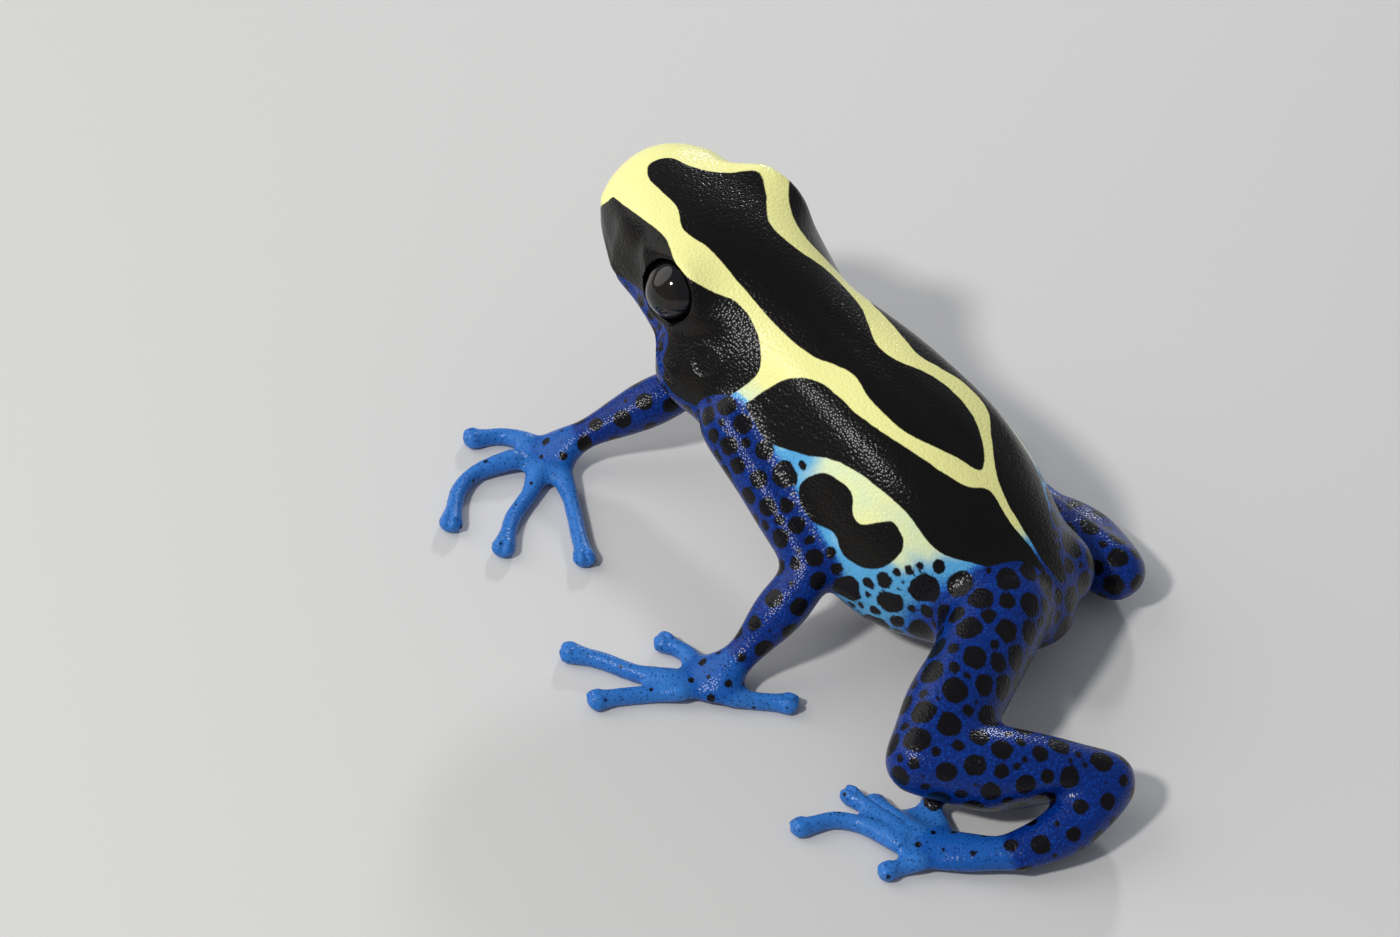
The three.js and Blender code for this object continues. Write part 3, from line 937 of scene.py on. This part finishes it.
# off the trunk there is no patch to keep clear of
off_trunk = 9 * (on_trunk < 0.3)
largest = np.minimum(largest, -patch - CLEAR_OF_PATCH + off_trunk)
homes = np.nonzero((slide > SPOTS_FROM_SLIDE) & (points[:, 2] > CLEAR_OF_TABLE))[0]
middles, radii = deal_spots(points, homes, largest, gap)
print("spots dealt:", len(radii))

# %% [markdown]
# Round spots alone leave wide blue gaps. On the animal they press against each other and go a little
# angular, so every spot grows until it meets its neighbour's border. The net between them stays.

# %% Let the spots grow
NET = 0.3
NEIGHBOURS = 7
GROWTH_ROUNDS = 10

spot_tree = KDTree(len(middles))
for k, middle in enumerate(middles):
    spot_tree.insert(middle, k)
spot_tree.balance()


def two_deepest(point):
    """How deep a point lies in the two spots that hold it deepest, negative outside them."""
    found = spot_tree.find_n(Vector(point), NEIGHBOURS)
    return sorted((radii[k] - away for _, k, away in found), reverse=True)[:2]


deepest, second = np.array([two_deepest(point) for point in points]).T
grown = deepest + relax(growth, edges, HALF, GROWTH_ROUNDS)
spot = np.minimum(grown, (deepest - second - NET) / 2)
print("share of the skin in a spot:", round(float((spot > 0).mean()), 3))

# %% [markdown]
# The numbers are stored on the skin as attributes, so the shader needs no image and no unwrap. The
# skin then takes the place of all the flesh solids.

# %% Store the numbers on the skin


def store(piece, name, values):
    layer = piece.data.attributes.get(name) or piece.data.attributes.new(name, "FLOAT", "POINT")
    layer.data.foreach_set("value", np.asarray(values, np.float32))


def shade_smooth(piece):
    for face in piece.data.polygons:
        face.use_smooth = True


store(skin, "patch", np.clip(patch, -DEEPEST, DEEPEST))
store(skin, "spot", np.clip(spot, -DEEPEST, DEEPEST))
store(skin, "slide", slide)
store(skin, "paw", on_paw)
store(skin, "digit", on_digit)
shade_smooth(skin)
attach(skin, "root")
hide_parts(*FLESH)
print("triangles in the skin:", sum(len(face.vertices) - 2 for face in skin.data.polygons))

# %% [markdown]
# The eyeball of this frog is near black, with a dark bronze iris and a pupil that can hardly be told
# from it. A ball is turned so that its pole looks out of the opening, and the cornea bulges slightly.
# Pupil and iris are stored as numbers, so their rims stay crisp at any distance.

# %% Eyes
EYE_FIT = 0.99
CORNEA_BULGE = 0.05
CORNEA_FROM = 0.72
PUPIL_ALONG = 0.95
PUPIL_TALL = 0.62
IRIS_RADIUS = 1.75


def make_eye(side):
    deselect_all()
    bpy.ops.mesh.primitive_uv_sphere_add(segments=64, ring_count=48, radius=EYE_RADIUS * EYE_FIT * MM)
    eye = bpy.context.object
    eye.name = f"eyeball_{side}"
    look = look_of[side]
    across = Vector((0, 0, 1)).cross(look).normalized()
    upright = look.cross(across)
    turn = Matrix((across, upright, look)).transposed()
    for corner in eye.data.vertices:
        pole_height = (corner.co / MM / EYE_RADIUS).z
        domed = 1 + CORNEA_BULGE * float(fade_in(pole_height, CORNEA_FROM, 1 - CORNEA_FROM))
        corner.co = eye_middles[side] + turn @ (corner.co * domed)
    rays = [corner.co - eye_middles[side] for corner in eye.data.vertices]
    ahead = np.array([ray.normalized().dot(look) for ray in rays]) > 0
    rise = np.array([ray.dot(upright) / MM for ray in rays])
    run = np.array([ray.dot(across) / MM for ray in rays])
    pupil = 1 - np.hypot(run / PUPIL_ALONG, rise / PUPIL_TALL)
    store(eye, "pupil", np.where(ahead, pupil, -DEEPEST))
    store(eye, "iris", np.where(ahead, IRIS_RADIUS - np.hypot(run, rise), -DEEPEST))
    shade_smooth(eye)
    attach(eye, "root")
    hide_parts(f"eye_{side}")
    return eye


eyes = [make_eye(side) for side in SIDES]
print("eyes:", [eye.name for eye in eyes])

# %% [markdown]
# Shader maths reads best as plain expressions. A small class wraps a socket, so that a sum or product
# of two of them adds the Math node for it. One method adds every other kind of node.

# %% A socket that can be reckoned with


def wire(tree, slot, value):
    """Links a reckoned value to a socket, or sets a plain one on it."""
    if isinstance(value, Reckon):
        tree.links.new(value.socket, slot)
    else:
        slot.default_value = value


def add_node(tree, kind, output, settings, values):
    """A node of a kind, with its settings made first and then its sockets, by name or number."""
    node = tree.nodes.new(kind)
    for key, value in settings.items():
        setattr(node, key, value)
    for key, value in values.items():
        wire(tree, node.inputs[key], value)
    return Reckon(tree, node.outputs[output])


class Reckon:
    """A socket that adds Math nodes when it is reckoned with."""

    def __init__(self, tree, socket):
        self.tree = tree
        self.socket = socket

    def math(self, operation, other):
        return add_node(self.tree, "ShaderNodeMath", 0, {"operation": operation}, {0: self, 1: other})

    def __add__(self, other):
        return self.math("ADD", other)

    def __mul__(self, other):
        return self.math("MULTIPLY", other)

    def __sub__(self, other):
        return self.math("SUBTRACT", other)

    def __rsub__(self, other):
        return (self * -1) + other

    __radd__ = __add__
    __rmul__ = __mul__

    def rise(self, low, high):
        """0 at low, 1 at high and smooth between them. It falls where low is above high."""
        settings = {"interpolation_type": "SMOOTHSTEP"}
        values = {"Value": self, "From Min": low, "From Max": high}
        return add_node(self.tree, "ShaderNodeMapRange", "Result", settings, values)


print("sums, differences and products are ready")

# %% [markdown]
# A finish is one material. Its helpers name the few nodes that this frog needs: a stored number, the
# place on the piece, a mix of two colours, cloudy noise and a pattern of cells. Places are in
# millimetres, so a scale of 5 means five cells to the millimetre.

# %% A finish and its helpers


class Finish:
    """One material and its nodes."""

    def __init__(self, name):
        self.material = bpy.data.materials.new(name)
        self.material.use_nodes = True
        self.tree = self.material.node_tree
        self.shader = self.tree.nodes["Principled BSDF"]

    def node(self, kind, output, settings=None, values=None):
        return add_node(self.tree, kind, output, settings or {}, values or {})

    def attribute(self, name):
        return self.node("ShaderNodeAttribute", "Fac", {"attribute_name": name})

    def places(self):
        """Object coordinates in millimetres."""
        metres = self.node("ShaderNodeTexCoord", "Object")
        values = {"Vector": metres, "Scale": 1 / MM}
        return self.node("ShaderNodeVectorMath", 0, {"operation": "SCALE"}, values)

    def mix(self, share, first, second):
        values = {0: share, 6: first, 7: second}
        return self.node("ShaderNodeMix", 2, {"data_type": "RGBA"}, values)

    def noise(self, scale, detail=2.0):
        values = {"Vector": self.places(), "Scale": scale, "Detail": detail}
        return self.node("ShaderNodeTexNoise", "Fac", None, values)

    def sway(self, scale, width):
        """Noise that wanders evenly to both sides of nought."""
        return (self.noise(scale) - 0.5) * width

    def cells(self, scale):
        """How far each place is from the middle of its cell."""
        values = {"Vector": self.places(), "Scale": scale}
        return self.node("ShaderNodeTexVoronoi", "Distance", None, values)

    def feed(self, values):
        for key, value in values.items():
            wire(self.tree, self.shader.inputs[key], value)

    def cover(self, piece):
        piece.data.materials.clear()
        piece.data.materials.append(self.material)


def colour(red, green, blue):
    """A colour given in the 0 to 255 steps of a screen, as the shader's linear light."""
    def light(step):
        share = step / 255
        return share / 12.92 if share <= 0.04045 else ((share + 0.055) / 1.055) ** 2.4
    return (light(red), light(green), light(blue), 1.0)


print("a middle grey in linear light:", round(colour(128, 128, 128)[0], 3))

# %% [markdown]
# The ground of the skin is the slide of colours, with lighter blue on the paws and lighter still on
# the digits. Noise lets every border wander a little. Up close the blue has dark specks of pigment, a
# painted highlight on the top of each dome of the skin and painted shade on its rim, between the domes.

# %% Ground colours of the skin
YELLOW = colour(252, 248, 164)
CREAM = colour(226, 240, 196)
CYAN = colour(94, 176, 226)
SKY = colour(40, 116, 208)
DEEP_BLUE = colour(4, 48, 132)
PAW_BLUE = colour(26, 90, 172)
DIGIT_BLUE = colour(52, 120, 200)
# dark blue of the pigment specks, and of the painted shade on the dome rims
SPECK_AND_SHADE_BLUE = colour(2, 18, 66)
# painted highlight colour for the dome tops
PAINTED_HIGHLIGHT_BLUE = colour(46, 116, 222)
# the slide's borders, from and to, and the colour beyond each
SLIDE_COLOURS = [(7.2, 9.6, CREAM), (9.2, 11.0, CYAN), (11.4, 13.8, SKY), (13.0, 16.5, DEEP_BLUE)]
BLUE = (10.2, 13.5)
# the grain, in cells to the millimetre, with the borders and strength of each mark on a cell: pigment
# specks, painted shade on a dome's rim and a painted highlight on its top
GRAINS_PER_MM = 4.8
SPECKS_PER_MM = 3.2
SPECK, SPECK_SHARE = (0.34, 0.16), 0.6
# painted shade on the rim of each dome, and a painted highlight on its top
PAINTED_SHADE_RIM, RIM_SHADE_SHARE = (0.3, 0.6), 0.35
PAINTED_HIGHLIGHT_TOP, TOP_HIGHLIGHT_SHARE = (0.26, 0.08), 0.4
# less painted shade and highlight on the paws
LESS_GRAIN_LIGHT_ON_PAWS = 0.65

skin_finish = Finish("wet grainy skin")
slide_value = skin_finish.attribute("slide") + skin_finish.sway(0.5, 2.4)
ground = YELLOW
for low, high, beyond in SLIDE_COLOURS:
    ground = skin_finish.mix(slide_value.rise(low, high), ground, beyond)
paw = skin_finish.attribute("paw")
ground = skin_finish.mix(paw.rise(0.2, 0.9), ground, PAW_BLUE)
ground = skin_finish.mix(skin_finish.attribute("digit").rise(0.3, 0.9), ground, DIGIT_BLUE)

blueness = slide_value.rise(*BLUE)
specks = skin_finish.cells(SPECKS_PER_MM).rise(*SPECK) * blueness * SPECK_SHARE
ground = skin_finish.mix(specks, ground, SPECK_AND_SHADE_BLUE)
grain = skin_finish.cells(GRAINS_PER_MM)
# where the painted shade and highlight of the grain show: on blue skin, less on the paws
grainy_painted_light = blueness * (1 - LESS_GRAIN_LIGHT_ON_PAWS * paw)
# painted shade on the dome rims, in the hollows between the domes
ground = skin_finish.mix(grain.rise(*PAINTED_SHADE_RIM) * grainy_painted_light * RIM_SHADE_SHARE, ground, SPECK_AND_SHADE_BLUE)
# painted highlight on the dome tops
ground = skin_finish.mix(grain.rise(*PAINTED_HIGHLIGHT_TOP) * grainy_painted_light * TOP_HIGHLIGHT_SHARE, ground, PAINTED_HIGHLIGHT_BLUE)
print("nodes for the ground:", len(skin_finish.tree.nodes))

# %% [markdown]
# Patches and spots lie over the ground, with edges that are crisp but a little ragged. The skin is wet
# and finely grained: low domes, each about a fifth of a millimetre wide, break up every highlight into
# sparks. A bump of small cells makes them, and a low roughness makes the skin wet. A clear coat would
# lie smooth over the domes and lose the sparks.

# %% Patches, spots and wet grain
BLACK = colour(14, 11, 8)
SPOT_BLACK = colour(10, 8, 12)
SPOT_EDGE = (-0.06, 0.08)
PATCH_EDGE = (-0.05, 0.06)
DOME_HEIGHT = 0.013 * MM
DOME_FALL = 2.2

ragged = skin_finish.sway(0.9, 0.4) + skin_finish.sway(3.0, 0.16)
in_spot = skin_finish.attribute("spot") + ragged
surface = skin_finish.mix(in_spot.rise(*SPOT_EDGE), ground, SPOT_BLACK)
wander = skin_finish.sway(0.9, 0.5) + skin_finish.sway(4.0, 0.16)
in_patch = skin_finish.attribute("patch") + wander * 0.35
surface = skin_finish.mix(in_patch.rise(*PATCH_EDGE), surface, BLACK)
domes = {"Strength": 1.0, "Distance": DOME_HEIGHT, "Height": 1 - grain * grain * DOME_FALL}
skin_finish.feed({
    "Base Color": surface,
    "Normal": skin_finish.node("ShaderNodeBump", 0, None, domes),
    "Roughness": 0.24,
    "Specular IOR Level": 0.22,
})
skin_finish.cover(skin)
print("nodes for the whole skin:", len(skin_finish.tree.nodes))

# %% [markdown]
# The eye is a wet ball. A dark bronze iris with fine threads surrounds the black pupil, and a thin
# clear coat gives the sharp light of a tear film over them.

# %% Eye finish
eye_finish = Finish("near-black eye")
threads = eye_finish.noise(5.0, 5.0).rise(0.35, 0.7)
bronze = eye_finish.mix(threads, colour(12, 8, 6), colour(34, 22, 12))
ball = eye_finish.mix(eye_finish.attribute("iris").rise(-0.12, 0.05), colour(10, 8, 8), bronze)
ball = eye_finish.mix(eye_finish.attribute("pupil").rise(-0.04, 0.04), ball, colour(2, 2, 2))
eye_finish.feed({
    "Base Color": ball,
    "Roughness": 0.1,
    "Specular IOR Level": 0.2,
    "Coat Weight": 0.55,
    "Coat Roughness": 0.02,
})
for eye in eyes:
    eye_finish.cover(eye)
print("finishes:", [material.name for material in bpy.data.materials])

# %% [markdown]
# The frog stands on a plain pale floor in a small studio. The floor is only there for the picture.
# A faint blue sky light fills the shadows.

# %% Floor and room
FLOOR_SIZE = 3.0
SKY_TINT = (0.75, 0.8, 0.9, 1)
SKY_STRENGTH = 0.34

deselect_all()
bpy.ops.mesh.primitive_plane_add(size=FLOOR_SIZE, location=(0, 0, 0))
floor = bpy.context.object
floor.name = "pale floor"
floor_finish = Finish("pale floor")
floor_finish.feed({"Base Color": colour(214, 212, 208), "Roughness": 0.7})
floor_finish.cover(floor)

world = bpy.data.worlds.new("studio")
bpy.context.scene.world = world
world.use_nodes = True
background = world.node_tree.nodes["Background"]
background.inputs["Color"].default_value = SKY_TINT
background.inputs["Strength"].default_value = SKY_STRENGTH
print("floor is", FLOOR_SIZE, "m wide")

# %% [markdown]
# The photograph looks down on the frog's left side from behind, a little tilted. The camera repeats that
# view: where it stands as seen from the frog, the lens, and how far it leans.

# %% Camera
TOWARDS_CAMERA = Vector((0.605, 0.424, 0.676)).normalized()
CAMERA_LEAN = math.radians(6.85)
CAMERA_REACH = 266.0
LENS = 100.0
SENSOR = 36.0
PICTURE_WIDTH, PICTURE_HEIGHT = 1400, 937
VENT_PIXEL = (1065.0, 625.0)
VENT_HEIGHT = 4.0

level_right = (-TOWARDS_CAMERA).cross(Vector((0, 0, 1))).normalized()
level_up = level_right.cross(-TOWARDS_CAMERA)
right = level_right * math.cos(CAMERA_LEAN) + level_up * math.sin(CAMERA_LEAN)
up = level_up * math.cos(CAMERA_LEAN) - level_right * math.sin(CAMERA_LEAN)
pixels = LENS / SENSOR * PICTURE_WIDTH
across = (VENT_PIXEL[0] - PICTURE_WIDTH / 2) / pixels
down = (VENT_PIXEL[1] - PICTURE_HEIGHT / 2) / pixels
stand = Vector((0, 0, VENT_HEIGHT)) + CAMERA_REACH * (TOWARDS_CAMERA - across * right + down * up)

deselect_all()
bpy.ops.object.camera_add()
camera = bpy.context.object
camera.name = "camera"
camera.data.lens = LENS
camera.data.sensor_width = SENSOR
camera.data.clip_start = 0.01
turn = Matrix((right, up, TOWARDS_CAMERA)).transposed().to_4x4()
camera.matrix_world = Matrix.Translation((vent + stand) * MM) @ turn
bpy.context.scene.camera = camera
print("camera stands at, m:", [round(c, 3) for c in camera.location])

# %% [markdown]
# A broad soft lamp lights the frog from the front left. A small one on the near side gives the wet
# sparks that a flash gives, along the flank and the upper arm, and a weak one opens the shadows on the
# far side. A small lamp is needed for sparks, because a broad one makes a grey sheen instead.

# %% Lamps
LIT_PLACE = (4, -16, 6)


def add_lamp(name, place, size, watts, tint=(1, 1, 1)):
    deselect_all()
    bpy.ops.object.light_add(type="AREA", location=to_frame(*place))
    lamp = bpy.context.object
    lamp.name = name
    lamp.data.shape = "DISK"
    lamp.data.size = size
    lamp.data.energy = watts
    lamp.data.color = tint
    aim = to_frame(*LIT_PLACE) - lamp.location
    lamp.rotation_euler = aim.to_track_quat("-Z", "Y").to_euler()
    print(name, "stands", round(aim.length, 2), "m away")


add_lamp("broad lamp", (150, -410, 300), size=0.5, watts=0.95, tint=(1, 0.98, 0.95))
add_lamp("spark lamp", (345, -80, 372), size=0.05, watts=1.35)
add_lamp("far lamp", (-400, -240, 210), size=0.05, watts=0.7, tint=(0.95, 0.97, 1))
bpy.context.scene.view_settings.view_transform = "Standard"
